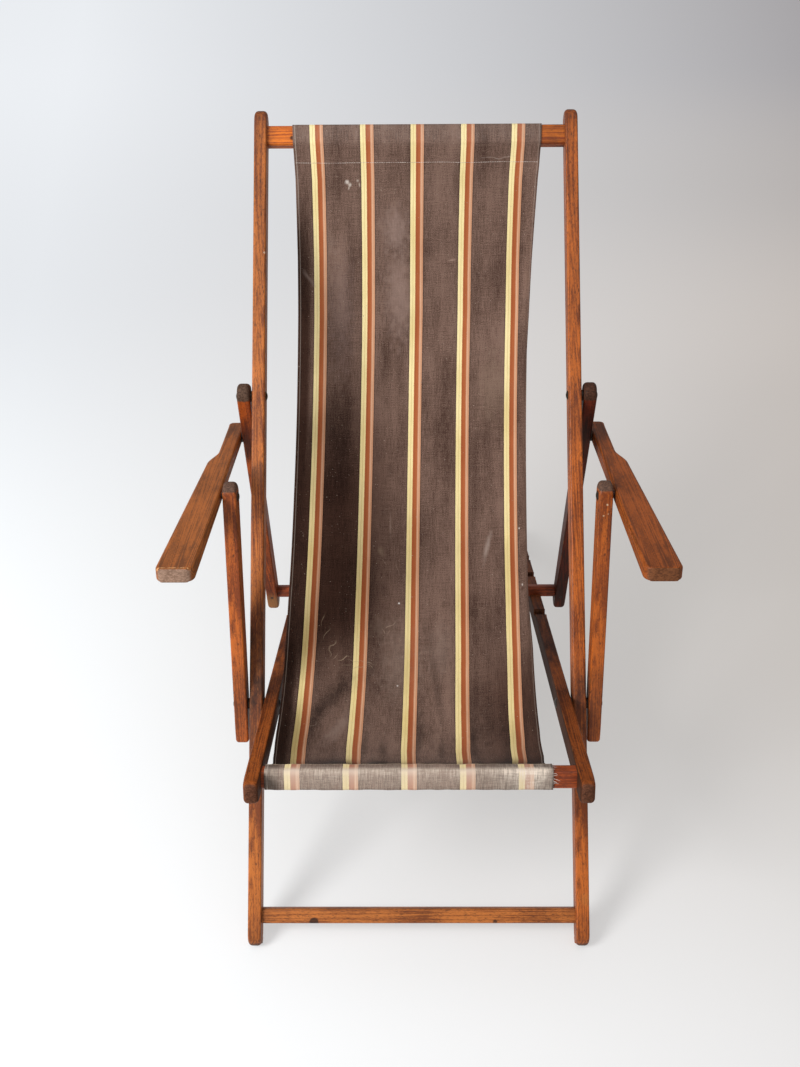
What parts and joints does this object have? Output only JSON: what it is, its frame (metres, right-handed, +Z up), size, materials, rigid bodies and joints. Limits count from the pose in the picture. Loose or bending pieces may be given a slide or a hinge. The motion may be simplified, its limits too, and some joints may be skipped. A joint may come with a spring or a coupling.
{
  "type": "deck chair",
  "caption": "Folding wooden deck chair with a striped canvas sling, flat arms on posts, and a support frame that drops into notches in the seat rails.",
  "frame": {"origin": "on the floor, under the middle of the chair's outer box", "axes": "+X to the sitter's right seen from behind and to the right in a front view, +Y to the back, +Z up"},
  "size_m": [0.728, 1.205, 1.0962],
  "materials": {
    "varnished_wood": "old warm orange-brown varnish, worn and stained at the joints",
    "dark_wood": "darker red-brown varnish",
    "blackened_steel": "blackened steel, dull",
    "canvas": "heavy woven cotton, taupe with cream, rust and tan stripes"
  },
  "bodies": {
    "long_frame": {"long_rail_left": "varnished_wood", "long_rail_right": "varnished_wood", "top_rail": "varnished_wood", "foot_stretcher": "varnished_wood", "seat_pivot_bolts": "blackened_steel", "seat_pivot_washers": "blackened_steel", "support_pivot_bolts": "blackened_steel", "support_pivot_washers": "blackened_steel", "canvas": "canvas"},
    "seat_frame": {"seat_rail_left": "varnished_wood", "seat_rail_right": "varnished_wood", "front_rail": "dark_wood", "rear_stretcher": "dark_wood"},
    "support_frame": {"support_rail_left": "varnished_wood", "support_rail_right": "varnished_wood", "support_crossbar": "dark_wood", "crossbar_nails": "blackened_steel"},
    "left_arm": {"arm_left": "varnished_wood", "arm_screws_left": "blackened_steel", "arm_washers_left": "blackened_steel"},
    "right_arm": {"arm_right": "varnished_wood", "arm_screws_right": "blackened_steel", "arm_washers_right": "blackened_steel"},
    "left_post": {"arm_post_left": "varnished_wood", "post_bolt_left": "blackened_steel"},
    "right_post": {"arm_post_right": "varnished_wood", "post_bolt_right": "blackened_steel"}
  },
  "joints": [
    {"name": "support_fold", "type": "hinge", "parent": "long_frame", "child": "support_frame", "pos_m": [0, 0.02888, 0.70664], "axis": [1, 0, 0], "range_deg": [0, 125]},
    {"name": "seat_fold", "type": "hinge", "parent": "long_frame", "child": "seat_frame", "pos_m": [0, -0.30665, 0.30677], "axis": [1, 0, 0], "range_deg": [0, 64], "deforming": ["canvas"]},
    {"name": "left_arm_fold", "type": "hinge", "parent": "support_frame", "child": "left_arm", "pos_m": [-0.2965, 0.05477, 0.61005], "axis": [1, 0, 0], "range_deg": [-75.57, 0]},
    {"name": "right_arm_fold", "type": "hinge", "parent": "support_frame", "child": "right_arm", "pos_m": [0.2965, 0.05477, 0.61005], "axis": [1, 0, 0], "range_deg": [-75.57, 0]},
    {"name": "left_post_fold", "type": "hinge", "parent": "long_frame", "child": "left_post", "pos_m": [-0.295, -0.30665, 0.30677], "axis": [1, 0, 0], "range_deg": [-16.32, 0]},
    {"name": "right_post_fold", "type": "hinge", "parent": "long_frame", "child": "right_post", "pos_m": [0.295, -0.30665, 0.30677], "axis": [1, 0, 0], "range_deg": [-16.32, 0]}
  ],
  "couplings": [
    {"joint": "seat_fold", "follows": "support_fold", "ratio": 0.512},
    {"joint": "left_arm_fold", "follows": "support_fold", "ratio": -0.60452},
    {"joint": "right_arm_fold", "follows": "support_fold", "ratio": -0.60452},
    {"joint": "left_post_fold", "follows": "support_fold", "ratio": -0.13058},
    {"joint": "right_post_fold", "follows": "support_fold", "ratio": -0.13058}
  ]
}
